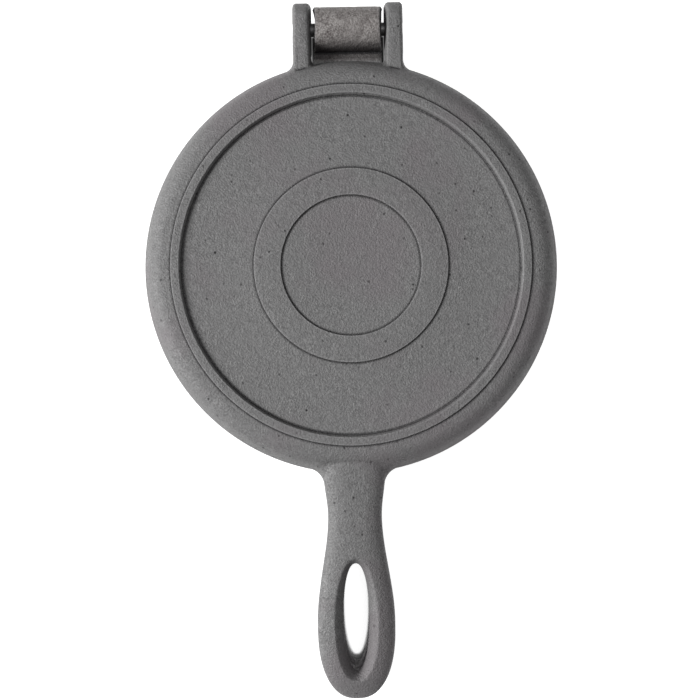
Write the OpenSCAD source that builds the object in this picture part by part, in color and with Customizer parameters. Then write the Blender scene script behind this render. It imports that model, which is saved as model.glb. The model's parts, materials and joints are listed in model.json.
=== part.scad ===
// Stovetop waffle iron: two cast iron halves on a hinge pin.
// Millimetres. +Z is up and +Y points at the hinge. The iron lies closed on its lower foot ring.

/* [Plates] */
// Outside diameter of the round plates
plate_d = 203.2; // [180:0.1:230]
// Height of one plate, from its rim face to its foot ring
plate_h = 13.5; // [12.6:0.1:16]
// Thickness of the floor between the outer face and the batter cavity
floor_t = 3.6; // [2.8:0.1:4.4]
// Radius of the shoulder that rounds the rim
shoulder_r = 10; // [5:0.1:12]
// Drop of the shoulder between the foot ring and the rim
shoulder_drop = 0.3; // [0.1:0.1:1.9]
// Slope of the outer wall, as its width in plan
rim_draft = 6; // [3:0.1:7]
// Gap left between the two rim faces when the iron is closed
rim_gap = 0.3; // [0.1:0.05:0.8]
// Rounding of the edges of the rim face
rim_edge_r = 0.8; // [0.3:0.1:1.5]

/* [Foot ring] */
// Width of the shoulder outside the raised ring that stands on the stove
shoulder_w = 15.4; // [13.5:0.1:18]
// Width of the foot ring
ring_w = 3.9; // [3:0.1:8]
// Height of the foot ring over the shoulder
ring_step = 0.7; // [0.3:0.1:1]
// Depth of the face inside the foot ring
face_recess = 2; // [1:0.1:2.4]
// Slope of the foot ring's inner wall, as its width in plan
ring_draft = 1.1; // [0.3:0.1:2]

/* [Face band] */
// Outside diameter of the raised band on the upper face
band_d = 93.6; // [70:0.1:110]
// Width of the raised band
band_w = 13.3; // [6:0.1:20]
// Height of the raised band
band_h = 0.7; // [0.4:0.1:0.9]
// Slope of the band's walls, as their width in plan
band_draft = 0.35; // [0.1:0.05:0.6]

/* [Batter cavity] */
// Width of the rim face round the cavity
rim_w = 9; // [7:0.1:14]
// Slope of the cavity's side wall, as its width in plan
cavity_draft = 3; // [0.5:0.1:3.6]
// Width of the round channel between the studs and the side wall
channel_w = 5.4; // [4.5:0.1:8]

/* [Studs] */
// Distance from stud to stud
stud_pitch = 15; // [13.5:0.1:18]
// Width of a stud at its tip
stud_tip = 9; // [6:0.1:9.6]
// Slope of a stud's sides, as their width in plan
stud_draft = 1.2; // [0.5:0.1:1.8]
// Distance of the stud tips below the rim face
tip_drop = 2.3; // [2.1:0.1:3]
// Width of the quarter ridges at their top
ridge_tip = 2.4; // [1.5:0.1:4]

/* [Hinge] */
// Distance from the rim to the middle of the hinge pin
hinge_reach = 15.4; // [15:0.1:20]
// Radius of the barrel
barrel_r = 10.6; // [8:0.1:11]
// Length of the barrel
barrel_l = 34.4; // [24:0.1:38]
// Diameter of the hinge pin
pin_d = 6.35; // [4:0.05:8]
// Clearance of the pin in the barrel, on the radius
pin_clearance = 0.1; // [0.02:0.01:0.3]
// Distance of the pin's ends below the ears' outer sides
pin_inset = 0.9; // [0.5:0.1:2]
// Clearance between the barrel's end and an ear
side_play = 0.6; // [0.3:0.1:1.5]
// Thickness of an ear at its thickest
ear_t = 9.4; // [6:0.1:12]
// Half height of an ear over the pin's axis
ear_h = 10.2; // [8:0.1:11.5]
// Reach of the ears past the pin's axis
ear_reach = 12.2; // [9:0.1:14]
// Corner radius of the ears
ear_corner_r = 8.4; // [6:0.1:9]
// Clearance between the ears' feet and the other plate's rim
ear_clearance = 1.6; // [1.2:0.1:2.5]
// Radius of the fillets between the ears and the rim
ear_fillet_r = 6.5; // [2:0.1:9]
// Slope of the ears' sides, as their width in plan
ear_draft = 1.1; // [0.3:0.1:1.8]
// Slope of the barrel's ends, as their width in plan
barrel_draft = 1.5; // [0.3:0.1:2]
// Thickness of the lug that carries the barrel
lug_t = 8.2; // [5:0.1:9]
// Radius of the fillets between the lug and the rim
lug_fillet_r = 2.8; // [1:0.1:3.4]
// Distance of the lug's face from the middle of the pin
lug_drop = 1.4; // [0.8:0.1:2.5]

/* [Handle] */
// Length of the handle, from the rim to its end
handle_l = 107.8; // [95:0.1:125]
// Width of the handle at its neck
neck_w = 26.2; // [20:0.1:32]
// Width of the handle at its eye
eye_w = 37.6; // [33:0.1:44]
// Extra width of the handle where it leaves the rim
root_flare = 4; // [0:0.1:6]
// Radius of the fillets between the handle and the rim
root_fillet_r = 8; // [3:0.1:10]
// Height of the handle's crown over its widest line
crown_h = 6.8; // [5:0.1:8]
// Depth of the handle's belly under its widest line
belly_h = 4.2; // [3:0.1:5]
// Depth of the neck's crown below the foot ring's plane
neck_drop = 2.1; // [1.8:0.1:3]
// Depth of the eye's crown below the foot ring's plane
eye_drop = 0.5; // [0.3:0.1:1.5]
// Length of the slot in the eye at its narrowest
slot_l = 51.8; // [30:0.1:56]
// Width of the slot at its narrowest
slot_w = 12.4; // [8:0.1:15]
// Distance from the end of the handle to the slot
slot_end = 13.6; // [12:0.1:20]
// Flare of the slot's mouth
slot_flare = 10; // [4:0.1:12]

/* [Hidden] */
$fn = 96;

iron_grey = [0.30, 0.29, 0.29];
steel_grey = [0.52, 0.52, 0.53];

plate_r = plate_d / 2;
ring_r = plate_r - shoulder_w;
band_r = band_d / 2;
cavity_r = plate_r - rim_w;
cavity_depth = plate_h - face_recess - floor_t;
pin_r = pin_d / 2;
// How far one cut or piece runs into another, so that they part or join cleanly
bite = 1;

face_z = plate_h - face_recess;
shoulder_z = plate_h - ring_step;
rim_top_z = shoulder_z - shoulder_drop;
// The casting's walls fillet into its faces with these radii
soft_edge_r = 0.4;
floor_fillet_r = 1.2;

channel_out_r = cavity_r - cavity_draft;
stud_field_r = channel_out_r - channel_w;
stud_h = cavity_depth - tip_drop;
stud_draft_run = stud_draft / stud_h;
stud_rows = floor(stud_field_r / stud_pitch);

hinge_y = plate_r + hinge_reach;
ear_end_y = hinge_y + ear_reach;
ear_in_x = barrel_l / 2 + side_play;
ear_out_x = ear_in_x + ear_t;
ear_foot_y = plate_r + ear_clearance;
// The castings of the hinge start over the cavity's edge
hinge_root_y = cavity_r;

handle_end_y = plate_r + handle_l;
neck_lift = plate_h - neck_drop - crown_h;
eye_lift = plate_h - eye_drop - crown_h;

// The plate's centre lies off the middle of the whole length
middle_y = (ear_end_y - handle_end_y) / 2;
closed_z = plate_h + rim_gap / 2;

// ---- profiles ----

// The centre of the arc of radius r that rounds the corner b between a and c
function corner_centre(a, b, c, r) =
    let (u = unit([a.x - b.x, a.y - b.y]), v = unit([c.x - b.x, c.y - b.y]))
    [b.x, b.y] + unit(u + v) * r / sin(acos(u * v) / 2);

// That arc, as points
function corner_arc(a, b, c, r, steps) =
    r == 0 ? [[b.x, b.y]] :
    let (
        u = unit([a.x - b.x, a.y - b.y]),
        v = unit([c.x - b.x, c.y - b.y]),
        half = acos(u * v) / 2,
        reach = r / tan(half),
        centre = corner_centre(a, b, c, r),
        from = [b.x, b.y] + u * reach - centre,
        to = [b.x, b.y] + v * reach - centre,
        turn = 180 - 2 * half
    )
    [for (i = [0 : steps]) centre + (from * sin(turn * (1 - i / steps)) + to * sin(turn * i / steps)) / sin(turn)];

function unit(v) = v / norm(v);

// A closed outline from points [x, y, corner radius]
function rounded(points, steps = 6) =
    let (n = len(points))
    [for (i = [0 : n - 1])
        each corner_arc(points[(i + n - 1) % n], points[i], points[(i + 1) % n], points[i].z, steps)];

// Rises from 0 to 1 as t goes from a to b
function ease(t, a, b) =
    let (u = max(0, min(1, (t - a) / (b - a))))
    u * u * (3 - 2 * u);

// ---- lofts ----

// A closed solid through rings of as many points each. Seen from the last ring, they run anticlockwise.
// The first point of a ring has every other one in sight
module loft(rings) {
    m = len(rings[0]);
    last = len(rings) - 1;
    points = [for (ring = rings) each ring];
    sides = [
        for (i = [0 : last - 1], j = [0 : m - 1])
            let (a = i * m + j, b = i * m + (j + 1) % m)
                each [[a, b + m, b], [a, a + m, b + m]]
    ];
    caps = [[for (j = [0 : m - 1]) j], [for (j = [0 : m - 1]) last * m + (m - j) % m]];
    polyhedron(points, concat(sides, caps));
}

// ---- one plate, drawn with its rim face at z = 0 and its outer face up ----

function band_profile() = [
    [band_r - band_w, face_z, 0],
    [band_r - band_w + band_draft, face_z + band_h, 0],
    [band_r - band_draft, face_z + band_h, 0],
    [band_r, face_z, 0]
];

shoulder_start = [ring_r + ring_step / 3, shoulder_z];
shoulder_corner = [plate_r - rim_draft, rim_top_z];
shoulder_centre = corner_centre(shoulder_start, shoulder_corner, [plate_r, 0], shoulder_r);

// Radius of the rim's outer side at a height over the rim face: a sloping wall under the shoulder's arc
function rim_r(z) =
    let (
        over_centre = z - shoulder_centre.y,
        arc_foot = shoulder_r * rim_draft / norm([rim_draft, rim_top_z])
    )
    over_centre < arc_foot
    ? plate_r - rim_draft * z / rim_top_z
    : shoulder_centre.x + sqrt(shoulder_r ^ 2 - over_centre ^ 2);

function plate_profile(with_band) = concat(
    [[0, face_z, 0]],
    with_band ? band_profile() : [],
    [
        [ring_r - ring_w - ring_draft, face_z, soft_edge_r],
        [ring_r - ring_w, plate_h, soft_edge_r],
        [ring_r, plate_h, ring_step / 3],
        [each shoulder_start, 0],
        [each shoulder_corner, shoulder_r],
        [plate_r, 0, rim_edge_r],
        [cavity_r, 0, rim_edge_r],
        [channel_out_r, cavity_depth, floor_fillet_r],
        [0, cavity_depth, 0]
    ]
);

module plate(with_band) {
    rotate_extrude() polygon(rounded(plate_profile(with_band)));
    studs();
    quarter_ridges();
}

// A long ridge with sloping sides, its tip at the studs' tips and its root in the plate
module ridge(tip_w, length) {
    root_z = cavity_depth + bite;
    root_w = tip_w + 2 * stud_draft_run * (stud_h + bite);
    translate([-length / 2, 0, 0])
        rotate([90, 0, 90])
            linear_extrude(length)
                polygon([
                    [-tip_w / 2, tip_drop],
                    [tip_w / 2, tip_drop],
                    [root_w / 2, root_z],
                    [-root_w / 2, root_z]
                ]);
}

function stud_place(k) = ridge_tip / 2 + stud_pitch - stud_tip / 2 + k * stud_pitch;

// The last stud of a row that still has its middle inside the field
function last_stud(row) =
    max([for (k = [0 : stud_rows - 1]) if (norm([stud_place(k), stud_place(row)]) < stud_field_r) k]);

module stud_ridges() {
    rows = [for (k = [0 : stud_rows - 1]) if (norm([stud_place(k), stud_place(0)]) < stud_field_r) k];
    for (side = [-1, 1], row = rows)
        translate([0, side * stud_place(row), 0])
            ridge(stud_tip, 2 * stud_place(last_stud(row)) + stud_pitch);
}

// The round edge of the stud field slopes like the studs' own sides
module stud_field() {
    root_z = cavity_depth + bite;
    translate([0, 0, tip_drop - bite])
        cylinder(
            h = root_z - tip_drop + bite,
            r1 = stud_field_r - stud_draft_run * (stud_h + bite),
            r2 = stud_field_r + stud_draft_run * bite
        );
}

// Rows of ridges crossed with rows of ridges leave the square studs
module studs() {
    intersection() {
        stud_ridges();
        rotate(90) stud_ridges();
        stud_field();
    }
}

module quarter_ridges() {
    intersection() {
        union() {
            ridge(ridge_tip, 2 * stud_field_r + bite);
            rotate(90) ridge(ridge_tip, 2 * stud_field_r + bite);
        }
        stud_field();
    }
}

// Centre of the fillet, in plan, that runs from a side at x out to a round rim
function fillet_centre(x, r, rim) = [x + r, sqrt((rim + r) ^ 2 - (x + r) ^ 2)];

// What joins the rim starts inside its metal, clear of the cavity
root_y = cavity_r + bite;

// ---- handle ----

// The handle's own shape is a loft of sections across it, minus a slot with flared mouths
neck_y = plate_r + 19.4;
swell_end_y = plate_r + 70.4;
eye_y = swell_end_y + 3;
// The eye's outline closes this far past the handle's last section
nose_y = handle_end_y + 0.15;
eye_power = 2.3;
handle_stations = 30;
section_points = 28;
section_power = 0.72;
slot_points = 36;
slot_levels = 12;
slot_power = 0.92;

root_w = neck_w + root_flare;
root_rim_r = rim_r(neck_lift);
root_centre = fillet_centre(root_w / 2, root_fillet_r, root_rim_r);
root_tangent_y = root_centre.y * root_rim_r / (root_rim_r + root_fillet_r);

function root_fillet(y) =
    let (d = min(root_centre.y - root_tangent_y, max(0, root_centre.y - y)))
    root_fillet_r - sqrt(root_fillet_r ^ 2 - d ^ 2);

function handle_half_w(y) =
    y > eye_y
    ? eye_w / 2 * (1 - ((y - eye_y) / (nose_y - eye_y)) ^ eye_power) ^ (1 / eye_power)
    : neck_w / 2 + (eye_w - neck_w) / 2 * ease(y, neck_y, swell_end_y)
      + root_flare / 2 * (1 - ease(y, root_tangent_y, neck_y)) + root_fillet(y);

function handle_line_z(y) = neck_lift + (eye_lift - neck_lift) * ease(y, neck_y, swell_end_y);

// The handle thins towards its tip
function tip_share(y) =
    y > eye_y ? (1 - ((y - eye_y) / (nose_y - eye_y)) ^ 4) ^ 0.5 : 1;

function power_of(v, p) = sign(v) * abs(v) ^ p;

function handle_section(y) =
    let (w = handle_half_w(y), share = tip_share(y))
    [for (i = [0 : section_points - 1])
        let (a = 360 * i / section_points, s = power_of(sin(a), section_power))
            [
                w * power_of(cos(a), section_power),
                -y,
                handle_line_z(y) + share * s * (s > 0 ? crown_h : belly_h)
            ]];

// Sections lie closer together towards the tip, where the outline turns
function station_y(i) =
    let (t = i / handle_stations)
    root_y + (handle_end_y - root_y) * (1 - (1 - t) ^ 1.6);

module handle_blank() {
    loft([for (i = [0 : handle_stations]) handle_section(station_y(i))]);
}

slot_centre_y = handle_end_y - slot_end - slot_l / 2;

// How far the slot's wall stands back from its throat, at a height over the throat
function flare_at(u) =
    let (depth = crown_h + 0.8, t = min(abs(u) / depth, 0.98))
    slot_flare * (1 - sqrt(1 - t ^ 2));

function slot_oval(u) =
    [for (i = [0 : slot_points - 1])
        let (a = 360 * i / slot_points)
            [
                (slot_w / 2 + flare_at(u)) * power_of(cos(a), slot_power),
                (slot_l / 2 + flare_at(u)) * power_of(sin(a), slot_power) - slot_centre_y,
                eye_lift + u
            ]];

module slot_cutter() {
    low = -belly_h - bite;
    high = crown_h + bite / 2;
    loft([for (i = [0 : slot_levels]) slot_oval(low + (high - low) * i / slot_levels)]);
}

module handle() {
    difference() {
        handle_blank();
        slot_cutter();
    }
}

// ---- hinge ----

// A block across the hinge whose two sides slope back above and below the pin's axis
module drafted_block(x0, x1, y0, y1, half_h, draft) {
    translate([0, y1, 0])
        rotate([90, 0, 0])
            linear_extrude(y1 - y0)
                polygon([
                    [x0, 0], [x0 + draft, half_h], [x1 - draft, half_h],
                    [x1, 0], [x1 - draft, -half_h], [x0 + draft, -half_h]
                ]);
}

module along_x(length) {
    rotate([90, 0, 90]) translate([0, 0, -length / 2]) linear_extrude(length) children();
}

gusset_levels = 8;
gusset_steps = 8;
// A gusset's hollow runs this far into the side and the rim, so that it crosses their faces
gusset_sink = 0.2;

// The outline, at a height z over the pin's axis, of what fills the corner between a side and the rim
function gusset_ring(x, r, z) =
    let (
        rim = rim_r(z - rim_gap / 2) - gusset_sink,
        centre = fillet_centre(x - gusset_sink, r, rim),
        turn = atan2(centre.y, centre.x),
        inside_x = x - 2 * bite
    )
    [for (p = [
        [inside_x, sqrt(root_y ^ 2 - inside_x ^ 2)],
        centre * root_y / (rim + r),
        for (i = [gusset_steps : -1 : 0])
            let (a = 180 + turn * i / gusset_steps)
                centre + r * [cos(a), sin(a)],
        [inside_x, centre.y]
    ]) [p.x, p.y, z]];

// Fills the corner between a side that slopes in by slope for each millimetre and the round rim
module root_gusset(x, slope, r, z0, z1) {
    loft([
        for (i = [0 : gusset_levels])
            let (z = z0 + (z1 - z0) * i / gusset_levels)
                gusset_ring(x - slope * z, r, z)
    ]);
}

// The ears' side view: a bar from the plate that ends in a rounded eye round the pin
function ear_profile() = [
    [hinge_root_y, ear_h, 0],
    [hinge_root_y, rim_edge_r, 0],
    [ear_foot_y, rim_edge_r, 0],
    [ear_foot_y, -ear_h, ear_corner_r],
    [ear_end_y, -ear_h, ear_corner_r],
    [ear_end_y, ear_h, ear_corner_r]
];

module ears() {
    length = 2 * ear_out_x;
    difference() {
        intersection() {
            along_x(length) polygon(rounded(ear_profile(), 8));
            union()
                for (side = [0, 1])
                    mirror([side, 0, 0])
                        drafted_block(ear_in_x, ear_out_x, hinge_root_y, ear_end_y, ear_h, ear_draft);
        }
        translate([0, hinge_y, 0]) along_x(length + bite) circle(pin_r);
    }
    for (side = [0, 1])
        mirror([side, 0, 0])
            root_gusset(
                ear_out_x, ear_draft / ear_h, ear_fillet_r, rim_edge_r + soft_edge_r, ear_h - soft_edge_r
            );
}

// The barrel and the lug that runs to it from the rim, on the outer side of the parting plane
module barrel_lug() {
    half_l = barrel_l / 2;
    end_y = hinge_y + barrel_r;
    lug_end = lug_drop + lug_t;
    difference() {
        intersection() {
            along_x(barrel_l)
                union() {
                    translate([hinge_y, 0]) circle(barrel_r);
                    translate([hinge_root_y, lug_drop]) square([hinge_y - hinge_root_y, lug_t]);
                }
            drafted_block(-half_l, half_l, hinge_root_y, end_y, barrel_r, barrel_draft);
        }
        translate([0, hinge_y, 0]) along_x(barrel_l + bite) circle(pin_r + pin_clearance);
    }
    for (side = [0, 1])
        mirror([side, 0, 0])
            root_gusset(
                half_l, barrel_draft / barrel_r, lug_fillet_r, lug_drop + soft_edge_r, lug_end - soft_edge_r
            );
}

// ---- pieces ----

module closed_place() {
    translate([0, -middle_y, closed_z]) children();
}

module upper_plate() {
    color(iron_grey)
        closed_place() {
            translate([0, 0, rim_gap / 2]) {
                plate(true);
                handle();
            }
            ears();
        }
}

module lower_plate() {
    color(iron_grey)
        closed_place() {
            mirror([0, 0, 1]) {
                translate([0, 0, rim_gap / 2]) {
                    plate(false);
                    handle();
                }
                barrel_lug();
            }
        }
}

module hinge_pin() {
    pin_l = 2 * (ear_out_x - pin_inset);
    chamfer = 0.5;
    color(steel_grey)
        closed_place()
            translate([-pin_l / 2, hinge_y, 0])
                rotate([0, 90, 0]) {
                    cylinder(h = chamfer, r1 = pin_r - chamfer, r2 = pin_r);
                    translate([0, 0, chamfer]) cylinder(h = pin_l - 2 * chamfer, r = pin_r);
                    translate([0, 0, pin_l - chamfer]) cylinder(h = chamfer, r1 = pin_r, r2 = pin_r - chamfer);
                }
}

upper_plate();
lower_plate();
hinge_pin();
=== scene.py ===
# %% [markdown]
# # A stovetop waffle iron in raw cast iron
# The real object is two sand castings on a steel pin: an upper half with two hinge ears and a
# lower half with a barrel between them. Each half is one piece of metal, so each is made here as
# one closed mesh: simple solids are shaped one by one, their corners are filled as a pattern
# maker would, and exact booleans then fuse them. Sizes are in millimetres until a casting is done.

# %% Load the frame
import json
from math import acos, copysign, cos, hypot, pi, radians, sin, sqrt, tan, tau

import bmesh
import bpy
from mathutils import Matrix, Vector, noise
from mathutils.bvhtree import BVHTree


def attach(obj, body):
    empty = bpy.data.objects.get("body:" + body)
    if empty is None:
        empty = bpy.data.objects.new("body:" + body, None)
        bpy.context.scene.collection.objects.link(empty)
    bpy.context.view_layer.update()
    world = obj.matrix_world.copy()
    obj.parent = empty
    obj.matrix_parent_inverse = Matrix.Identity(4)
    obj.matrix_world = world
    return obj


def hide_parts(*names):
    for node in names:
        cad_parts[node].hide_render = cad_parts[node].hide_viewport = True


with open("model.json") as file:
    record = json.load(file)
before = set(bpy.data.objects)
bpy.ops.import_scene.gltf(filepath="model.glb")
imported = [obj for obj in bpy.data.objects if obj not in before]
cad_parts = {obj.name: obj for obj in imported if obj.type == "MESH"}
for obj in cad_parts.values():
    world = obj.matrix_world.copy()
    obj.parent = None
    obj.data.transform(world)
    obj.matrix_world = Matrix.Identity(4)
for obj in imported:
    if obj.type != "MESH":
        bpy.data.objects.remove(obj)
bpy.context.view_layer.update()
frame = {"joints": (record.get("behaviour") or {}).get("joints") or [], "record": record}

# %% [markdown]
# ## Where the pieces go
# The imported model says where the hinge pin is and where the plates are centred, so these places
# are read from it. They could be typed in, but then a change in the model would leave the
# castings behind. A casting is modelled with its rim face at z = 0 and its outer face up.

# %% Places, from the frame
MM = 0.001
mounts = {mount["name"]: mount for mount in frame["record"]["mounts"]}
plate_centre_y = mounts["lower_ring"]["pos_m"][1] / MM
pin_place = Vector(frame["joints"][0]["pos_m"]) / MM
parting_z = pin_place.z
hinge_y = pin_place.y - plate_centre_y
rim_gap = 0.3
print(f"plate centre y {plate_centre_y:.1f} mm, parting plane z {parting_z:.2f} mm")
print(f"hinge {hinge_y:.1f} mm from the middle of the plate")

# %% [markdown]
# ## The camera
# The photograph looks straight down on the closed iron from about 42 cm above the middle, so the
# handle and the hinge lean outwards in it. A real camera this near has a wide lens. It is placed
# over the same point of the object and turned by the same small angle as in the photograph.

# %% Camera
IMAGE_WIDTH = 700
FOCAL_PIXELS = 850
camera_height = 418.6
camera_toward_handle = 40.66
camera_aside = -1.18
camera_turn = radians(-0.87)

lens = bpy.data.cameras.new("camera")
lens.sensor_width = 36
lens.lens = lens.sensor_width * FOCAL_PIXELS / IMAGE_WIDTH
camera = bpy.data.objects.new("camera", lens)
bpy.context.collection.objects.link(camera)
camera_y = plate_centre_y - camera_toward_handle
camera.location = Vector((camera_aside, camera_y, parting_z + camera_height)) * MM
camera.rotation_euler = (0, 0, camera_turn)
bpy.context.scene.camera = camera
print(f"lens {lens.lens:.1f} mm")

# %% [markdown]
# ## A sweep
# Most of the casting is swept: a loop of points is carried along a path. A grid does that well.
# Its first direction is wrapped round the loop and its second runs along the path, so every
# vertex only needs a rule that says where it goes. The seam is then merged and the ends closed.

# %% Sweep
SEAM = 0.002


def swept(around, along, place):
    """A closed solid from a grid: place(turn, step) gives a point, with both from 0 to 1."""
    bm = bmesh.new()
    bmesh.ops.create_grid(bm, x_segments=around, y_segments=along, size=1)
    for vert in bm.verts:
        vert.co = place((vert.co.x + 1) / 2, (vert.co.y + 1) / 2)
    bmesh.ops.remove_doubles(bm, verts=bm.verts, dist=SEAM)
    rims = [edge for edge in bm.edges if edge.is_boundary]
    if rims:
        bmesh.ops.holes_fill(bm, edges=rims, sides=0)
    bmesh.ops.recalc_face_normals(bm, faces=bm.faces)
    return bm


def solid(name, bm):
    """Turns a finished bmesh into an object."""
    mesh = bpy.data.meshes.new(name)
    bm.to_mesh(mesh)
    bm.free()
    piece = bpy.data.objects.new(name, mesh)
    bpy.context.collection.objects.link(piece)
    return piece


# %% [markdown]
# ## Fusing and cutting
# The parts of a casting are one piece of metal. Joining their meshes would leave walls hidden
# inside, so an exact boolean finds the true outer skin. It works as a modifier, which is
# evaluated once and taken off again, so that only a plain mesh is left.

# %% Booleans
def combine(piece, operation, *tools):
    """Fuses or cuts other solids with exact booleans, and keeps the result as plain mesh."""
    for tool in tools:
        step = piece.modifiers.new(operation, "BOOLEAN")
        step.operation = operation
        step.solver = "EXACT"
        step.object = tool
    graph = bpy.context.evaluated_depsgraph_get()
    mesh = bpy.data.meshes.new_from_object(piece.evaluated_get(graph))
    piece.modifiers.clear()
    piece.data = mesh
    for tool in tools:
        bpy.data.objects.remove(tool)
    return piece


# %% [markdown]
# ## Rounded outlines
# Moulding sand can't hold a sharp corner, so every outline is drawn with small arcs. A bevel
# could round the edges afterwards. An arc in the outline keeps its radius at every corner and is
# there before the shape is turned or pulled.

# %% Rounded corners
def rounded(points, steps=5):
    """A list of (a, b, radius) corners with each corner turned into an arc."""
    outline = []
    for i, (a, b, radius) in enumerate(points):
        corner = Vector((a, b))
        if radius == 0:
            outline.append(corner)
            continue
        back = (Vector(points[i - 1][:2]) - corner).normalized()
        ahead = (Vector(points[(i + 1) % len(points)][:2]) - corner).normalized()
        half = back.angle(ahead) / 2
        centre = corner + (back + ahead).normalized() * radius / sin(half)
        start = corner + back * radius / tan(half) - centre
        end = corner + ahead * radius / tan(half) - centre
        outline += [centre + start.slerp(end, k / steps) * radius for k in range(steps + 1)]
    return outline


# %% [markdown]
# ## The round plate
# A plate is the same all the way round, so it is turned like a pot: half of its section is drawn
# from the middle of the outer face to the middle of the cavity, with small arcs at the corners
# as sand leaves them, and spun once round the axis. Stacked cylinders could give the same
# steps, but each corner would then need a bevel of its own.

# %% Plate sizes
plate_r, plate_h = 101.6, 13.5
ring_r, ring_w, ring_step, ring_draft = 86.2, 3.9, 0.7, 1.1
face_recess, floor_t = 2.0, 3.6
face_z = plate_h - face_recess
floor_z = face_z - floor_t
shoulder_z = plate_h - ring_step
rim_draft, shoulder_drop, shoulder_r = 6.0, 0.3, 10.0
rim_top = (plate_r - rim_draft, shoulder_z - shoulder_drop)
rim_edge = 0.8
cavity_r, cavity_draft = 92.6, 3.0
band_r, band_w, band_h, band_draft = 46.8, 13.3, 0.7, 0.35
print(f"floor between the outer face and the cavity: {floor_t} mm thick")

# %% Plate section
SECTION_ARC = 8


def plate_section(with_band):
    """Half of the plate's section, as (radius, height) from the outer face to the cavity."""
    corners = [(0, face_z, 0)]
    if with_band:
        corners += [
            (band_r - band_w, face_z, 0.3),
            (band_r - band_w + band_draft, face_z + band_h, 0.25),
            (band_r - band_draft, face_z + band_h, 0.25),
            (band_r, face_z, 0.3),
        ]
    corners += [
        (ring_r - ring_w - ring_draft, face_z, 0.6),
        (ring_r - ring_w, plate_h, 0.5),
        (ring_r, plate_h, 0.35),
        (ring_r + ring_step / 3, shoulder_z, 0.3),
        (*rim_top, shoulder_r),
        (plate_r, 0, rim_edge),
        (cavity_r, 0, rim_edge),
        (cavity_r - cavity_draft, floor_z, 1.2),
        (0, floor_z, 0),
    ]
    return rounded(corners, SECTION_ARC)


print("points in the section:", len(plate_section(True)))

# %% Turned plate
SPIN_STEPS = 240


def turned_plate(with_band):
    bm = bmesh.new()
    verts = [bm.verts.new((point.x, 0, point.y)) for point in plate_section(with_band)]
    edges = [bm.edges.new(pair) for pair in zip(verts, verts[1:])]
    bmesh.ops.spin(
        bm, geom=verts + edges, cent=(0, 0, 0), axis=(0, 0, 1),
        angle=tau, steps=SPIN_STEPS, use_merge=True,
    )
    bmesh.ops.remove_doubles(bm, verts=bm.verts, dist=0.001)
    bmesh.ops.recalc_face_normals(bm, faces=bm.faces)
    return bm


# The bare plate's skin, which the root fillets will look for
rim_surface = BVHTree.FromBMesh(turned_plate(False))
print("plate turned in", SPIN_STEPS, "steps")

# %% [markdown]
# ## The waffle face
# The pockets of a waffle come from square studs, 88 on each plate, with a cross between the four
# quarters. A stud is a short tower with sloping sides, a rounded tip and a flared foot. An Array
# modifier could repeat one of them, but those at the edge are cut to the round field. So the
# same sweep makes each one, and points that fall outside the field are pulled back onto it.

# %% Stud sizes
stud_pitch, stud_tip, stud_draft, stud_corner = 15.0, 9.0, 1.2, 0.9
tip_z = 2.3
ridge_tip, ridge_corner = 2.4, 0.3
field_r = 84.2
TOWER_ROUND, TOWER_ARC = 0.25, 3

# Height share from the tip to below the floor, and how far the side stands out there
TOWER = [
    (0.0, -1.0), (0.02, -0.45), (0.1, -0.1), (0.2, 0.05),
    (0.8, 0.75), (0.92, 1.0), (1.0, 1.7), (1.2, 1.7),
]
print(f"a stud is {floor_z - tip_z:.1f} mm tall")


# %% One tower
def tower(centre, half_x, half_y, corner):
    """One rounded tower that stands on the cavity floor and has its tip below the rim face."""
    square = [(1, 1), (-1, 1), (-1, -1), (1, -1)]
    ring = rounded([(x, y, TOWER_ROUND) for x, y in square], TOWER_ARC)
    ring.append(ring[0])

    def place(turn, step):
        share, out = TOWER[round(step * (len(TOWER) - 1))]
        spot = ring[round(turn * (len(ring) - 1))]
        grow = stud_draft * out if out > 0 else corner * out
        point = Vector((
            centre[0] + spot.x * (half_x + grow),
            centre[1] + spot.y * (half_y + grow),
        ))
        limit = field_r - stud_draft + stud_draft * max(out, -0.5)
        if point.length > limit:
            point *= limit / point.length
        return Vector((point.x, point.y, tip_z + (floor_z - tip_z) * share))

    return swept(len(ring) - 1, len(TOWER) - 1, place)


# %% All the studs
def merged(parts):
    """Several bmeshes as one."""
    bm = bmesh.new()
    for part in parts:
        mesh = bpy.data.meshes.new("part")
        part.to_mesh(mesh)
        part.free()
        bm.from_mesh(mesh)
        bpy.data.meshes.remove(mesh)
    return bm


def stud_place(k):
    """How far the middle of stud k is from the middle of the plate, along one side."""
    return ridge_tip / 2 + stud_pitch - stud_tip / 2 + k * stud_pitch


def studs():
    rows = range(int(field_r / stud_pitch))
    places = [
        (sx * stud_place(i), sy * stud_place(j))
        for i in rows for j in rows if hypot(stud_place(i), stud_place(j)) < field_r
        for sx in (-1, 1) for sy in (-1, 1)
    ]
    print("studs on a plate:", len(places))
    return merged([tower(place, stud_tip / 2, stud_tip / 2, stud_corner) for place in places])


# %% [markdown]
# ## The handle
# The handle is a rounded bar that narrows at the neck and swells to an eye with a long slot.
# A box with a Subdivision Surface could give it, but its outline would be hard to hold to the
# photograph. A soft rectangle, swept from inside the rim to the tip, follows two simple rules:
# one for its width and one for its height.

# %% Handle sizes
handle_end = 209.4
neck_w, eye_w, root_flare = 26.2, 37.6, 4.0
neck_y, swell_end, eye_y = plate_r + 19.4, plate_r + 70.4, plate_r + 73.4
crown, belly = 6.8, 4.2
neck_drop, eye_drop = 2.1, 0.5
neck_line, eye_line = plate_h - neck_drop - crown, plate_h - eye_drop - crown
SECTION_POWER, TIP_POWER, THIN_POWER = 0.72, 2.3, 4
print(f"handle {neck_w} mm wide at the neck and {eye_w} mm at the eye")


# %% Handle section
def power_of(value, power):
    return copysign(abs(value) ** power, value)


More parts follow.
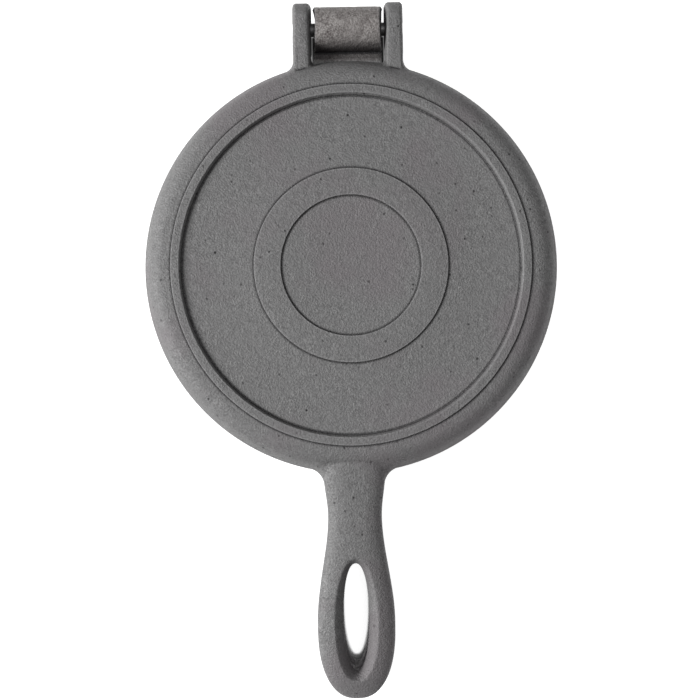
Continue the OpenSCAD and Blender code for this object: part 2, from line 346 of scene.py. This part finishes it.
def ease(value, low, high):
    """A soft step from 0 at low to 1 at high."""
    share = max(0.0, min(1.0, (value - low) / (high - low)))
    return share * share * (3 - 2 * share)


def handle_half_width(y):
    if y > eye_y:
        past = (y - eye_y) / (handle_end - eye_y)
        return eye_w / 2 * max(0.0, 1 - past ** TIP_POWER) ** (1 / TIP_POWER)
    swell = neck_w / 2 + (eye_w - neck_w) / 2 * ease(y, neck_y, swell_end)
    return swell + root_flare / 2 * (1 - ease(y, plate_r - 2, neck_y))


def handle_point(turn, y):
    """A point of the handle's skin: turn goes round the section, y runs out along the handle."""
    angle = tau * turn
    past = (y - eye_y) / (handle_end - eye_y)
    thin = max(0.0, 1 - past ** THIN_POWER) ** 0.5 if y > eye_y else 1
    line = neck_line + (eye_line - neck_line) * ease(y, neck_y, swell_end)
    up = power_of(sin(angle), SECTION_POWER)
    return Vector((
        handle_half_width(y) * power_of(cos(angle), SECTION_POWER),
        -y,
        line + thin * up * (crown if up > 0 else belly),
    ))


def handle_blank():
    root = cavity_r + 1

    def place(turn, step):
        # Rows come closer together towards the tip, where the outline bends most
        return handle_point(turn, root + (handle_end - root) * (1 - (1 - step) ** 1.6))

    return swept(80, 96, place)


# %% [markdown]
# ## The handle's slot
# The iron hangs by its slot, whose mouths flare out to a crest. A bevel can't flare that wide
# on a curved bar, so a swept oval that widens up and down cuts the whole opening at once. A cut
# leaves a knife edge, which a little vertex smoothing rounds like a casting's.

# %% Slot
slot_w, slot_l, slot_flare = 12.4, 51.8, 10.0
slot_end_wall = 13.6
slot_centre = handle_end - slot_end_wall - slot_l / 2
SLOT_POWER = 0.92
flare_depth, flare_limit = crown + 0.8, 0.98
print(f"slot {slot_w} mm wide and {slot_l} mm long at its narrowest")


def slot_cutter():
    low, high = -belly - 1, crown + 0.5

    def place(turn, step):
        level = low + (high - low) * step
        depth = min(abs(level) / flare_depth, flare_limit)
        flare = slot_flare * (1 - sqrt(1 - depth * depth))
        x = (slot_w / 2 + flare) * power_of(cos(tau * turn), SLOT_POWER)
        y = (slot_l / 2 + flare) * power_of(sin(tau * turn), SLOT_POWER)
        return Vector((x, y - slot_centre, eye_line + level))

    return swept(120, 36, place)


def soften(piece, sharp, reach, passes):
    """Rounds the knife edges that a cut leaves, by smoothing the vertices near them."""
    bm = bmesh.new()
    bm.from_mesh(piece.data)
    near = {
        vert for edge in bm.edges
        if edge.is_manifold and edge.calc_face_angle() > sharp
        for vert in edge.verts
    }
    for _ in range(reach):
        near |= {other for vert in near for edge in vert.link_edges for other in edge.verts}
    for _ in range(passes):
        bmesh.ops.smooth_vert(
            bm, verts=list(near), factor=0.5, use_axis_x=True, use_axis_y=True, use_axis_z=True,
        )
    bm.to_mesh(piece.data)
    bm.free()


def handle():
    piece = combine(solid("handle", handle_blank()), "DIFFERENCE", solid("slot", slot_cutter()))
    soften(piece, sharp=radians(22), reach=1, passes=3)
    return piece


# %% [markdown]
# ## Root fillets
# Cast iron has no sharp inner corners: wherever a bar leaves the rim, the corner is filled with a
# rounded sweep. The collar below makes that fill for any bar. From each point round the bar it
# looks back at the rim, finds where the two skins meet and at what angle, and bends a short curve
# from the bar's skin onto the rim's. Both ends are sunk into the metal, so the fusing is clean.

# %% Collar
BAR_SINK, RIM_SINK = 0.04, 0.06
BAR_DEPTH, RIM_DEPTH, ROOT_RUN = 0.9, 2.5, 2


def even_ring(points, count):
    """The points of a closed outline, spaced evenly."""
    closed = points + [points[0]]
    lengths = [(b - a).length for a, b in zip(closed, closed[1:])]
    total, ring, index, walked = sum(lengths), [], 0, 0.0
    for k in range(count):
        target = total * k / count
        while walked + lengths[index] < target:
            walked += lengths[index]
            index += 1
        share = (target - walked) / lengths[index]
        ring.append(closed[index].lerp(closed[index + 1], share))
    return ring


def root_collar(section, count, outward, radius, lowest, steps=10):
    """Fills the corner between a bar and the rim. section(k, y) is the bar's skin at point k of
    count, outward is -1 for a bar towards the handle and 1 towards the hinge, radius(normal) is
    the fillet's radius and lowest is the height that the fill stays above."""
    columns = []
    for k in range(count):
        near = section(k, plate_r)
        chord = section((k + 1) % count, plate_r) - section(k - 1, plate_r)
        normal = Vector((chord.z, 0, -chord.x)).normalized()
        start = Vector((near.x, outward * 2 * plate_r, near.z))
        meet, rim_normal, _, _ = rim_surface.ray_cast(start, Vector((0, -outward, 0)))
        along_rim = (normal - normal.dot(rim_normal) * rim_normal).normalized()
        bend = acos(max(-1.0, min(1.0, normal.dot(rim_normal))))
        reach = radius(normal) * tan(bend / 2)
        if along_rim.z < 0:
            reach = min(reach, max(0.0, near.z - lowest) / -along_rim.z)
        on_bar = section(k, abs(meet.y) + reach)
        on_rim = rim_surface.find_nearest(meet + along_rim * reach)[0]
        columns.append((
            section(k, abs(meet.y) + reach + ROOT_RUN) - normal * BAR_DEPTH,
            on_bar - normal * BAR_SINK,
            meet,
            on_rim - rim_normal * RIM_SINK,
            meet - rim_normal * RIM_DEPTH,
        ))

    def place(turn, step):
        inner_bar, a, b, c, inner_rim = columns[round(turn * count) % count]
        row = round(step * (steps + 2))
        if row == 0:
            return inner_bar
        if row == steps + 2:
            return inner_rim
        t = (row - 1) / steps
        return a * (1 - t) ** 2 + b * 2 * t * (1 - t) + c * t * t

    return swept(count, steps + 2, place)


# %% [markdown]
# ## The handle's root
# On the real iron the handle grows out of the rim in a wide curve at its sides, and in a small
# one where its crown meets the shoulder. One radius for both would be too wide on the crown or
# too tight at the sides, so the radius grows with how far the skin faces sideways.

# %% The handle's collar
handle_fillet, handle_side_fillet = 2.4, 8.0


def handle_collar():
    """A wide fill at the handle's sides, and a small one where its crown meets the shoulder."""
    count = 96

    def section(k, y):
        return handle_point(k % count / count, y)

    def radius(normal):
        return handle_fillet + handle_side_fillet * normal.x * normal.x

    return root_collar(section, count, -1, radius, 0.3)


print(f"handle fillets {handle_fillet} to {handle_fillet + handle_side_fillet} mm")

# %% [markdown]
# ## The hinge ears
# The ears are flat bars that end in a rounded eye, and their sides slope a little, because the
# pattern has to leave the sand. An ear is drawn from the side, pulled out to its thickness, split
# at the parting plane and sloped from there, and its edges are beveled.

# %% Pulled bars
parting = -rim_gap / 2


def bevel_edges(bm, edges, width, segments):
    bmesh.ops.bevel(
        bm, geom=edges, offset=width, offset_type="OFFSET", segments=segments, profile=0.5,
        affect="EDGES", clamp_overlap=True, material=-1,
    )


def pulled(outline, low_x, high_x, bevel, run, height):
    """A solid pulled along X from an outline of (y, z) points. Its edges are beveled, and both
    sides lean in by run at a height above or below the parting plane."""
    bm = bmesh.new()
    face = bm.faces.new([bm.verts.new((low_x, point.x, point.y)) for point in outline])
    drawn = bmesh.ops.extrude_face_region(bm, geom=[face])
    moved = [item for item in drawn["geom"] if isinstance(item, bmesh.types.BMVert)]
    bmesh.ops.translate(bm, verts=moved, vec=(high_x - low_x, 0, 0))
    bmesh.ops.recalc_face_normals(bm, faces=bm.faces)
    rims = [edge for edge in bm.edges if any(abs(f.normal.x) > 0.9 for f in edge.link_faces)]
    bevel_edges(bm, rims, bevel, 4)
    bmesh.ops.bisect_plane(
        bm, geom=bm.verts[:] + bm.edges[:] + bm.faces[:],
        plane_co=(0, 0, parting), plane_no=(0, 0, 1),
    )
    middle, half = (low_x + high_x) / 2, (high_x - low_x) / 2
    for vert in bm.verts:
        lean = run * abs(vert.co.z - parting) / height
        vert.co.x = middle + (vert.co.x - middle) * (1 - lean / half)
    return bm


# %% Ears
ear_in, ear_t, ear_h, ear_draft = 17.8, 9.4, 10.2, 1.1
ear_foot_y, ear_end_y = plate_r + 1.6, hinge_y + 12.2
ear_low, ear_fall = 0.8, 2.2
ear_eye_r, ear_edge, ear_foot_edge = 8.4, 1.8, 0.6
root_y = cavity_r + 0.6
print(f"ears {ear_t} mm thick and {2 * ear_in} mm apart")


def ear_top(y):
    """Height of an ear's top, which falls a little from its end to the rim."""
    return parting + ear_h - ear_fall * (ear_end_y - y) / (ear_end_y - cavity_r)


def ear_outline():
    low, high, foot = parting - ear_h, parting + ear_h, parting + ear_low
    return rounded([
        (root_y, ear_top(root_y), 0), (root_y, foot, 0), (ear_foot_y, foot, 0),
        (ear_foot_y, low, ear_eye_r), (ear_end_y, low, ear_eye_r), (ear_end_y, high, ear_eye_r),
    ], 14)


def ear(side):
    inner, outer = sorted((side * ear_in, side * (ear_in + ear_t)))
    return solid("ear", pulled(ear_outline(), inner, outer, ear_edge, ear_draft, ear_h))


# %% [markdown]
# ## The ears' roots
# An ear is filled wide on its outside and only a little beside the barrel, which needs the room.
# The collar follows the ear's section, which has to be evenly spaced so that its faces stay
# alike in size.

# %% The ears' collars
ear_fillet, ear_outer_fillet, ear_inner_fillet = 0.9, 5.6, 1.7


def ear_collar(side):
    """The fill at an ear's root: wide on the outside, small beside the barrel."""
    count = 72
    foot, top = parting + ear_low, parting + ear_h
    lean_foot, lean_top = ear_draft * ear_low / ear_h, ear_draft
    corners = [
        (ear_in + ear_t - lean_foot, foot, ear_foot_edge),
        (ear_in + ear_t - lean_top, top, ear_edge),
        (ear_in + lean_top, top, ear_edge),
        (ear_in + lean_foot, foot, ear_foot_edge),
    ]
    ring = even_ring(rounded(corners), count)
    if side < 0:
        ring = [Vector((-point.x, point.y)) for point in reversed(ring)]

    def section(k, y):
        x, z = ring[k % count]
        return Vector((x, y, foot + (z - foot) * (ear_top(y) - foot) / (top - foot)))

    def radius(normal):
        outside = normal.x * side > 0
        return ear_fillet + (ear_outer_fillet if outside else ear_inner_fillet) * abs(normal.x)

    return root_collar(section, count, 1, radius, foot)


# %% [markdown]
# ## Barrel and lug
# The lower casting ends in a barrel, the bored cylinder that the pin turns in, on a short lug
# that joins it to the rim. A cylinder primitive would have straight ends and a perfect skin. The
# real ends lean in from the middle, so that the pattern leaves the sand, and the skin is lumpy.
# So a circle is carried along the pin's axis, shrunk near each end, with the ends leaned and the
# skin moved in by a little noise. The bore is cut when everything else is fused.

# %% Barrel
barrel_r, barrel_half, barrel_draft, barrel_edge = 10.6, 17.2, 1.5, 0.9
lump_depth, lump_scale = 0.12, 0.32
print(f"barrel {2 * barrel_r} mm across and {2 * barrel_half} mm long")


def barrel():
    def place(turn, step):
        angle = tau * turn
        y, z = barrel_r * cos(angle), barrel_r * sin(angle)
        end = barrel_half - barrel_draft * abs(z) / barrel_r
        reach = end * (2 * step - 1)
        shrink = max(0.0, abs(reach) - (end - barrel_edge)) / barrel_edge
        scale = 1 - barrel_edge / barrel_r * (1 - sqrt(max(0.0, 1 - shrink * shrink)))
        spot = Vector((reach, hinge_y + y * scale, parting + z * scale))
        lump = lump_depth * (noise.fractal(spot * lump_scale, 1.0, 2.0, 3) - 0.25)
        return spot + Vector((0, cos(angle), sin(angle))) * min(0.0, lump)

    return swept(120, 72, place)


# %% [markdown]
# ## Lug
# The lug is a thick tongue that carries the barrel, and it meets the rim in a fill like the
# ears'. It is pulled from an outline like them and leans in by the same rule as the barrel's
# ends, so that the two skins line up.

# %% Lug
lug_near, lug_far, lug_edge, lug_fillet = 1.4, 9.6, 1.0, 2.8
lug_top, lug_low = parting + lug_near, parting + lug_far
print(f"lug {lug_far - lug_near:.1f} mm thick")


def lug():
    outline = rounded([
        (root_y, lug_top, 0), (hinge_y, lug_top, 0), (hinge_y, lug_low, 0), (root_y, lug_low, 0),
    ])
    return pulled(outline, -barrel_half, barrel_half, lug_edge, barrel_draft, barrel_r)


def lug_collar():
    count = 96
    half_top = barrel_half - barrel_draft * lug_near / barrel_r
    half_low = barrel_half - barrel_draft * lug_far / barrel_r
    ring = even_ring(rounded([
        (half_top, lug_top, lug_edge), (half_low, lug_low, lug_edge),
        (-half_low, lug_low, lug_edge), (-half_top, lug_top, lug_edge),
    ]), count)

    def section(k, y):
        return Vector((ring[k % count].x, y, ring[k % count].y))

    return root_collar(section, count, 1, lambda normal: lug_fillet, 0.4)


# %% [markdown]
# ## The two castings
# Each half is now fused from its solids. What both share comes first: the round plate, the
# studs, the cross and the handle. The ears or the barrel follow, and the bore for the pin is
# cut last, so that it runs clean through. The lower half is the same plate turned over, and
# turning a mesh over with a negative scale flips its faces, so they are set right.

# %% Rods and places
def rod(radius, length, bevel=0.0):
    """A rod along X on the pin's axis."""
    bm = bmesh.new()
    bmesh.ops.create_cone(
        bm, cap_ends=True, segments=64, radius1=radius, radius2=radius, depth=length,
    )
    if bevel:
        bevel_edges(bm, [edge for edge in bm.edges if edge.calc_face_angle() > 1], bevel, 3)
    bmesh.ops.rotate(bm, verts=bm.verts, matrix=Matrix.Rotation(pi / 2, 3, "Y"))
    bmesh.ops.translate(bm, verts=bm.verts, vec=(0, hinge_y, parting))
    return bm


def into_place(piece, upside):
    """Scales a casting to metres and puts it where the frame has it."""
    scale = Matrix.Diagonal((MM, MM, MM * upside, 1))
    height = parting_z + upside * rim_gap / 2
    shift = Matrix.Translation(Vector((0, plate_centre_y, height)) * MM)
    bm = bmesh.new()
    bm.from_mesh(piece.data)
    bmesh.ops.transform(bm, matrix=shift @ scale, verts=bm.verts)
    bmesh.ops.dissolve_degenerate(bm, dist=1e-6, edges=bm.edges)
    bmesh.ops.recalc_face_normals(bm, faces=bm.faces)
    bm.to_mesh(piece.data)
    bm.free()
    piece.data.shade_smooth()
    piece.data.set_sharp_from_angle(angle=radians(38))
    triangles = sum(len(face.vertices) - 2 for face in piece.data.polygons)
    print(f"{piece.name}: {triangles} triangles")


# %% What both halves share
def waffle_plate(name, with_band):
    plate = solid(name, turned_plate(with_band))
    cross_x = tower((0, 0), field_r, ridge_tip / 2, ridge_corner)
    cross_y = tower((0, 0), ridge_tip / 2, field_r, ridge_corner)
    return combine(
        plate, "UNION", solid("studs", studs()), solid("cross_x", cross_x),
        solid("cross_y", cross_y), handle(), solid("handle_collar", handle_collar()),
    )


# %% Upper casting
pin_r, pin_clearance = 3.175, 0.1
BORE_LENGTH = 80

upper = waffle_plate("upper_casting", True)
combine(
    upper, "UNION", ear(1), ear(-1),
    solid("collar", ear_collar(1)), solid("collar", ear_collar(-1)),
)
combine(upper, "DIFFERENCE", solid("bore", rod(pin_r, BORE_LENGTH)))
into_place(upper, 1)

# %% Lower casting
lower = waffle_plate("lower_casting", False)
boss = combine(solid("barrel", barrel()), "UNION", solid("lug", lug()))
combine(lower, "UNION", boss, solid("lug_collar", lug_collar()))
combine(lower, "DIFFERENCE", solid("bore", rod(pin_r + pin_clearance, BORE_LENGTH)))
into_place(lower, -1)

# %% [markdown]
# ## Hinge pin
# The pin is a plain rod cut to length, so a cylinder primitive is all that it needs, with a small
# bevel at each end where the burr was filed off. Its ends lie a little inside the ears, and it is
# a hair thinner than the ears' bore, so that no two skins lie in one place.

# %% Hinge pin
pin_slack, pin_inset, pin_edge = 0.01, 0.9, 0.5
pin = solid("hinge_rod", rod(pin_r - pin_slack, 2 * (ear_in + ear_t - pin_inset), pin_edge))
into_place(pin, 1)

# %% [markdown]
# ## Wiring materials
# A material is a small web of nodes. Building it by hand in the editor works, and in a script
# a few helpers keep it readable: one adds and links a node, one does sums, one stretches a value
# to a new range and one blends two colours by a mask.

# %% Node helpers
def set_or_link(tree, socket, value):
    if isinstance(value, bpy.types.NodeSocket):
        tree.links.new(value, socket)
    else:
        socket.default_value = value


def wire(tree, kind, **inputs):
    """Adds a node. Inputs are values or other nodes' outputs, by socket name, or as i0 and i1."""
    node = tree.nodes.new(kind)
    if "tree_of" in inputs:
        node.node_tree = inputs.pop("tree_of")
    for key, value in inputs.items():
        by_number = key[0] == "i" and key[1:].isdigit()
        set_or_link(tree, node.inputs[int(key[1:]) if by_number else key], value)
    return node


def maths(tree, operation, a, b=0.0):
    node = wire(tree, "ShaderNodeMath", i0=a, i1=b)
    node.operation = operation
    return node.outputs[0]


def stretched(tree, value, low, high, to_low=0.0, to_high=1.0):
    node = wire(tree, "ShaderNodeMapRange", Value=value)
    node.inputs["From Min"].default_value = low
    node.inputs["From Max"].default_value = high
    node.inputs["To Min"].default_value = to_low
    node.inputs["To Max"].default_value = to_high
    return node.outputs["Result"]


def blended(tree, mask, a, b):
    """A colour that goes from a to b as the mask goes from 0 to 1."""
    node = tree.nodes.new("ShaderNodeMix")
    node.data_type = "RGBA"
    for name, kind, value in (("Factor", "VALUE", mask), ("A", "RGBA", a), ("B", "RGBA", b)):
        # A Mix node keeps one socket of each name for every kind of value
        fitting = next(s for s in node.inputs if s.name == name and s.type == kind)
        set_or_link(tree, fitting, value)
    return next(s for s in node.outputs if s.type == "RGBA")


def blank_material(name):
    """A new material, its nodes, its shader and its Object coordinates."""
    material = bpy.data.materials.new(name)
    material.use_nodes = True
    tree = material.node_tree
    place = tree.nodes.new("ShaderNodeTexCoord").outputs["Object"]
    return material, tree, tree.nodes["Principled BSDF"], place


# %% [markdown]
# ## Sand-cast skin
# Iron takes the print of the sand it was poured into: a fine grain, softer lumps under it, a few
# gas pits, and a slow change of tone over the whole piece. The pits are painted near black as
# the shade inside them, and scattered bright dots are painted glints. An image texture could
# show all that, but it would need an unwrapped mesh and have seams. One node group holds the
# effect instead, so that each finish can use it with its own values. It puts out a tone, a height
# and a tint, all made from noise on Object coordinates, which stay fixed to the metal in every
# pose.

# %% Noise and dots
def noise_at(tree, place, size_mm, detail, rough):
    node = wire(
        tree, "ShaderNodeTexNoise", Vector=place, Scale=1 / MM / size_mm,
        Detail=detail, Roughness=rough,
    )
    return node.outputs["Fac"]


def dots(tree, place, spacing_mm, share_left_out, radius):
    """A mask of scattered dots. Each cell of a Voronoi pattern holds one or none, and radius is
    a share of the spacing."""
    cells = wire(tree, "ShaderNodeTexVoronoi", Vector=place, Scale=1 / MM / spacing_mm)
    chance = wire(tree, "ShaderNodeSeparateColor", i0=cells.outputs["Color"]).outputs[0]
    chosen = maths(tree, "GREATER_THAN", chance, share_left_out)
    dot = stretched(tree, cells.outputs["Distance"], radius * 2, radius * 0.6)
    return maths(tree, "MULTIPLY", dot, chosen)


# %% Skin group
GRAIN_MM, LUMP_MM, PATCH_MM, DRIFT_MM = 0.85, 3.2, 14.0, 45.0
# Spacing of the gas pits, painted dark as their shade, and of the painted glints
PIT_MM, GLINT_MM = 4.3, 2.9


def cast_skin():
    group = bpy.data.node_groups.new("sand_cast_skin", "ShaderNodeTree")
    sockets = group.interface
    sockets.new_socket("Place", in_out="INPUT", socket_type="NodeSocketVector")
    sockets.new_socket("Coarse", in_out="INPUT", socket_type="NodeSocketFloat")
    for name in ("Tone", "Height", "Tint"):
        sockets.new_socket(name, in_out="OUTPUT", socket_type="NodeSocketFloat")
    start = group.nodes.new("NodeGroupInput")
    end = group.nodes.new("NodeGroupOutput")
    place = start.outputs["Place"]
    coarse = start.outputs["Coarse"]

    def times(a, b):
        return maths(group, "MULTIPLY", a, b)

    grain = stretched(group, noise_at(group, place, GRAIN_MM, 2.0, 0.6), 0.32, 0.68)
    lumps = stretched(group, noise_at(group, place, LUMP_MM, 2.0, 0.6), 0.3, 0.7)
    pit = dots(group, place, PIT_MM, 0.7, 0.09)
    glint = dots(group, place, GLINT_MM, 0.65, 0.11)

    # Tone: grain, lumps, painted glints and pits painted dark as shade, stronger in some patches
    fine = maths(group, "SUBTRACT", 1.0, coarse)
    speck = maths(group, "ADD", times(grain, fine), times(lumps, coarse))
    speck = maths(group, "ADD", speck, times(glint, 0.45))
    speck = maths(group, "SUBTRACT", speck, times(pit, 1.4))
    patch = stretched(group, noise_at(group, place, PATCH_MM, 2.0, 0.5), 0.35, 0.65, 0.45, 1.0)
    swing = times(maths(group, "SUBTRACT", speck, 0.5), patch)
    group.links.new(maths(group, "ADD", swing, 0.5), end.inputs["Tone"])

    height = maths(group, "ADD", times(grain, 0.5), times(lumps, coarse))
    group.links.new(maths(group, "SUBTRACT", height, times(pit, 0.6)), end.inputs["Height"])
    group.links.new(noise_at(group, place, DRIFT_MM, 3.0, 0.55), end.inputs["Tint"])
    return group


skin = cast_skin()
print("skin nodes:", len(skin.nodes))

# %% [markdown]
# ## Raw iron
# The castings are bare iron and dull. Their corners are painted almost black, partly for the
# grime that stays there and partly as painted shade, and their crests get a painted highlight.
# Painted maps could say where the corners are. Ambient occlusion finds them from the shape
# itself: a short reach draws the thin dark lines at the foot of each step, and the same node
# looking inwards finds the crests.

# %% Corner grime, painted shade and painted highlights
# Grime with painted shade, for the corners
GRIME_AND_SHADE = (0.012, 0.011, 0.012, 1)
# A painted highlight, for the crests
PAINTED_HIGHLIGHT = (0.36, 0.355, 0.36, 1)


def occlusion(tree, reach, samples, own=True, inside=False):
    """How open the skin is within reach, as 1 on a flat and less in a corner. From inside, it is
    less on a crest. With own, other pieces don't count."""
    node = wire(tree, "ShaderNodeAmbientOcclusion", Distance=reach)
    node.samples = samples
    node.only_local = own
    node.inside = inside
    return node.outputs["AO"]


def grime_shade_and_highlights(tree, colour):
    """Grime and painted shade in the corners, and a painted highlight on the crests."""
    grime_shade_mask = stretched(tree, occlusion(tree, 0.0014, 8), 0.97, 0.87, 0.0, 0.96)
    highlight_mask = stretched(tree, occlusion(tree, 0.0009, 4, inside=True), 0.95, 0.8, 0.0, 0.5)
    return blended(tree, highlight_mask, blended(tree, grime_shade_mask, colour, GRIME_AND_SHADE), PAINTED_HIGHLIGHT)


# %% [markdown]
# ## The rough barrel
# In the photograph the barrel is coarser and warmer than the plates, and the trough between it
# and the rim lies in shade, which is painted in as a dark colour. A second material could hold
# that look, and its border would be a hard line across one casting. So the lower plate's own
# material changes softly where Y is past the rim.

# %% Barrel skin
PLATE_COARSE, BARREL_COARSE = 0.3, 0.4
BARREL_DARK = (0.12, 0.106, 0.103, 1)
BARREL_LIGHT = (0.36, 0.34, 0.33, 1)
# Painted shade for the trough between the barrel and the rim
TROUGH_SHADE = (0.02, 0.017, 0.018, 1)
boss_blend = 0.002


def barrel_skin(tree, place, grain, plain, boss_from):
    """Goes from the plate's colour and grain to the barrel's, past boss_from along Y."""
    along = wire(tree, "ShaderNodeSeparateXYZ", i0=place).outputs["Y"]
    boss = stretched(tree, along, boss_from, boss_from + boss_blend)
    coarse = stretched(tree, boss, 0, 1, PLATE_COARSE, BARREL_COARSE)
    tree.links.new(coarse, grain.inputs["Coarse"])
    light = stretched(tree, grain.outputs["Tone"], 0.2, 0.8)
    coloured = blended(tree, boss, plain, blended(tree, light, BARREL_DARK, BARREL_LIGHT))
    # Painted shade: darker where other metal is near, in the trough by the rim
    trough = stretched(tree, occlusion(tree, 0.011, 4, own=False), 0.92, 0.58, 0.0, 0.9)
    return blended(tree, maths(tree, "MULTIPLY", trough, boss), coloured, TROUGH_SHADE)


# %% Iron
# The nearly black colour that the pits reach is their painted shade
PIT_SHADE = (0.028, 0.027, 0.028, 1)
IRON_LIGHT = (0.26, 0.258, 0.258, 1)
WARM_IRON = (0.185, 0.168, 0.176, 1)


def cast_iron(name, boss_from=None):
    """Raw iron. Past boss_from, in metres along Y, the skin is that of the rough barrel."""
    material, tree, shader, place = blank_material(name)
    grain = wire(tree, "ShaderNodeGroup", tree_of=skin, Place=place, Coarse=PLATE_COARSE)
    tone = grain.outputs["Tone"]
    speckled = blended(tree, stretched(tree, tone, -0.6, 1.0), PIT_SHADE, IRON_LIGHT)
    warm = stretched(tree, grain.outputs["Tint"], 0.5, 0.66, 0.0, 0.6)
    coloured = blended(tree, warm, speckled, WARM_IRON)
    if boss_from:
        coloured = barrel_skin(tree, place, grain, coloured, boss_from)
    tree.links.new(grime_shade_and_highlights(tree, coloured), shader.inputs["Base Color"])
    tree.links.new(stretched(tree, tone, 0.0, 1.0, 0.75, 0.55), shader.inputs["Roughness"])
    shader.inputs["Metallic"].default_value = 0.35
    height = grain.outputs["Height"]
    bump = wire(tree, "ShaderNodeBump", Height=height, Strength=0.8, Distance=0.00042)
    tree.links.new(bump.outputs["Normal"], shader.inputs["Normal"])
    return material


rim_end_y = (plate_centre_y + plate_r) * MM
upper.data.materials.append(cast_iron("raw_cast_iron"))
lower.data.materials.append(cast_iron("raw_cast_iron_rough_barrel", rim_end_y))
print(f"barrel skin past y = {rim_end_y:.4f} m")

# %% [markdown]
# ## Drawn steel
# The pin was drawn through a die, which leaves fine lines along it. An anisotropic shader could
# hint at them, but so little of the pin shows that plain noise is enough: a Mapping node
# stretches it along the rod's axis.

# %% Steel
STEEL_DARK = (0.12, 0.115, 0.115, 1)
STEEL_LIGHT = (0.2, 0.2, 0.205, 1)


def drawn_steel():
    material, tree, shader, place = blank_material("drawn_steel")
    drawn = wire(tree, "ShaderNodeMapping", Vector=place, Scale=(60, 1500, 1500))
    pattern = drawn.outputs["Vector"]
    lines = wire(tree, "ShaderNodeTexNoise", Vector=pattern, Scale=1.0, Detail=2.0).outputs["Fac"]
    tree.links.new(blended(tree, lines, STEEL_DARK, STEEL_LIGHT), shader.inputs["Base Color"])
    tree.links.new(stretched(tree, lines, 0.3, 0.7, 0.45, 0.62), shader.inputs["Roughness"])
    shader.inputs["Metallic"].default_value = 0.9
    return material


pin.data.materials.append(drawn_steel())
print("materials:", [piece.data.materials[0].name for piece in (upper, lower, pin)])

# %% [markdown]
# ## Join the pieces to the frame
# Each casting stands for its CAD node and rides on that node's body, so the upper half and the
# pin swing together when the hinge opens.

# %% Ride
for piece, node, body, slot in (
    (upper, "upper_plate", "upper_half", "upper_iron"),
    (lower, "lower_plate", "lower_half", "lower_iron"),
    (pin, "hinge_pin", "upper_half", "pin_steel"),
):
    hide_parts(node)
    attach(piece, body)
    print(f"{piece.name} stands for {node} and rides on {body}")

# %% [markdown]
# ## Floor
# A pale floor under the iron gives the light that comes back up under its rim, and shows its
# shadow. The photograph's background is pure white. More light would make it so, and would also
# burn out the iron. Light Path lets the floor glow only where the camera, a reflection or glass
# sees it. The glow fades close to the iron, as a painted contact shadow. Under the hinge it is
# left out and the floor is painted nearly black, as painted shade where the photograph's gaps
# beside the barrel are dark.

# %% Shade under the hinge
shade_edge = 3 * MM
# From the pin, in metres along Y: where the shade starts and where it ends
shade_start, shade_end = (-0.035, -0.025), (0.001, 0.004)


def hinge_shade(tree, place):
    """A mask of the floor between the ears, from under the rim to just past the pin."""
    spot = wire(tree, "ShaderNodeSeparateXYZ", i0=place)
    aside = maths(tree, "ABSOLUTE", spot.outputs["X"])
    across = stretched(tree, aside, ear_in * MM, ear_in * MM + shade_edge, 1, 0)
    hinge = (plate_centre_y + hinge_y) * MM
    behind = stretched(tree, spot.outputs["Y"], *[hinge + y for y in shade_end], 1, 0)
    before = stretched(tree, spot.outputs["Y"], *[hinge + y for y in shade_start])
    return maths(tree, "MULTIPLY", maths(tree, "MULTIPLY", across, behind), before)


# %% Floor
FLOOR_PALE = (0.62, 0.62, 0.62, 1)
FLOOR_SHADE = (0.05, 0.05, 0.05, 1)
FLOOR_GLOW = 0.85
shadow_reach = 0.0045


def pale_floor():
    material, tree, shader, place = blank_material("pale_floor")
    rays = tree.nodes.new("ShaderNodeLightPath")
    seen = maths(tree, "MAXIMUM", rays.outputs["Is Camera Ray"], rays.outputs["Is Glossy Ray"])
    seen = maths(tree, "MAXIMUM", seen, rays.outputs["Is Transmission Ray"])
    # Painted contact shadow: the glow fades where the iron is near
    openness = wire(tree, "ShaderNodeAmbientOcclusion", Distance=shadow_reach).outputs["AO"]
    glow = maths(tree, "MULTIPLY", stretched(tree, openness, 0.68, 0.82), FLOOR_GLOW)
    shade = hinge_shade(tree, place)
    glow = maths(tree, "MULTIPLY", glow, maths(tree, "SUBTRACT", 1.0, shade))
    shader.inputs["Emission Color"].default_value = (1, 1, 1, 1)
    shader.inputs["Roughness"].default_value = 0.9
    tree.links.new(maths(tree, "MULTIPLY", seen, glow), shader.inputs["Emission Strength"])
    # The floor's colour, with painted shade under the hinge
    paper = blended(tree, shade, FLOOR_PALE, FLOOR_SHADE)
    tree.links.new(paper, shader.inputs["Base Color"])
    return material


floor_half, floor_drop = 4, 0.0002
floor_mesh = bmesh.new()
bmesh.ops.create_grid(floor_mesh, x_segments=1, y_segments=1, size=floor_half)
bmesh.ops.translate(floor_mesh, verts=floor_mesh.verts, vec=(0, 0, -floor_drop))
floor = solid("floor", floor_mesh)
floor.data.materials.append(pale_floor())
print(f"floor {2 * floor_half} m wide")

# %% [markdown]
# ## Lamps
# Two area lamps do the lighting. The key stands far out on the left, where the photograph's
# light comes from, and is wide, so its shadows are soft. The one overhead fills the faces that
# the key only grazes. An environment picture could do both, and two lamps are easier to tune
# against a photograph.

# %% Lamps and world
aim = Vector((0, 0.02, 0.01))


def lamp(name, place, size, power):
    light = bpy.data.lights.new(name, "AREA")
    light.size = size
    light.energy = power
    holder = bpy.data.objects.new(name, light)
    bpy.context.collection.objects.link(holder)
    holder.location = place
    holder.rotation_euler = (aim - Vector(place)).to_track_quat("-Z", "Y").to_euler()
    print(f"{name} lamp: {power} W")


lamp("key", (-3.6, -0.1, 2.1), 1.6, 212)
lamp("top", (0.2, 0.1, 2.2), 1.2, 16)

world = bpy.data.worlds.new("studio")
bpy.context.scene.world = world
world.use_nodes = True
backdrop = world.node_tree.nodes["Background"]
backdrop.inputs["Color"].default_value = (1, 1, 1, 1)
backdrop.inputs["Strength"].default_value = 0.07
bpy.context.scene.view_settings.view_transform = "Standard"
